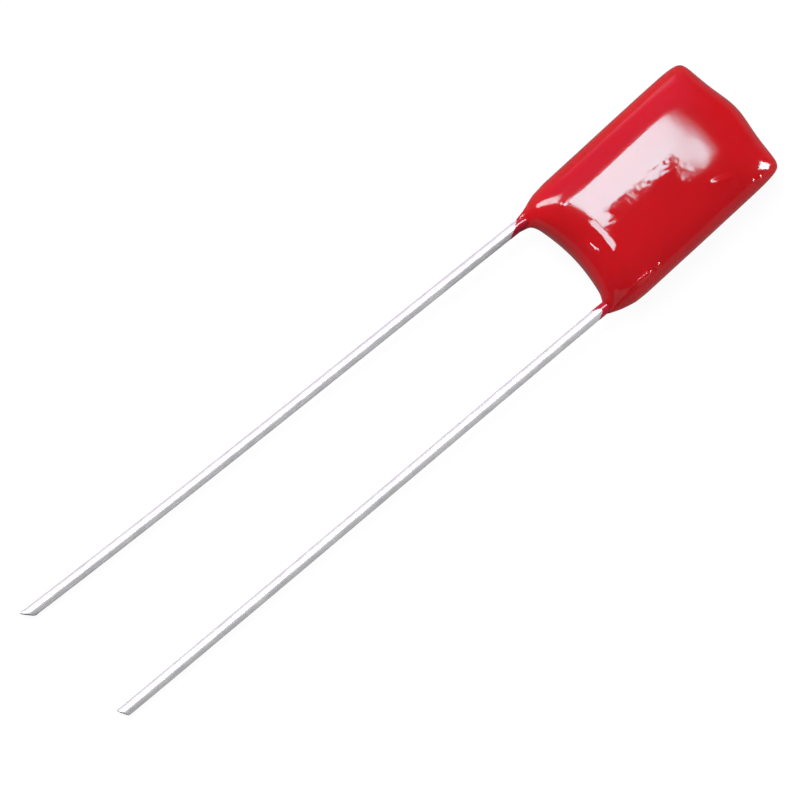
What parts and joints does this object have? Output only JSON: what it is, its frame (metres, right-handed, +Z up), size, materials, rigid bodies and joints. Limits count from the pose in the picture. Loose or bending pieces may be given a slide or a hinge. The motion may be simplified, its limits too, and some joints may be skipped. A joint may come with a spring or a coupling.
{
  "type": "dipped film capacitor",
  "caption": "Flat pillow-shaped film capacitor with a glossy dipped epoxy coat, a wound film and foil roll inside, and straight radial wire leads.",
  "frame": {"origin": "midway between the two leads where the coat stops, on the body's mid-plane", "axes": "+X across the leads, +Y from the leads to the closed end of the body, +Z up from the face it lies on"},
  "size_m": [0.0081, 0.0368, 0.0032],
  "materials": {
    "coat": "glossy dipped red epoxy",
    "film": "clear polyester film",
    "foil": "bright rolled foil",
    "tinned_wire": "bright drawn tinned wire"
  },
  "bodies": {
    "root": {"epoxy_coat": "coat", "film_inner": "film", "film_outer": "film", "foil_left": "foil", "foil_right": "foil", "lead_left": "tinned_wire", "lead_right": "tinned_wire"}
  },
  "joints": []
}
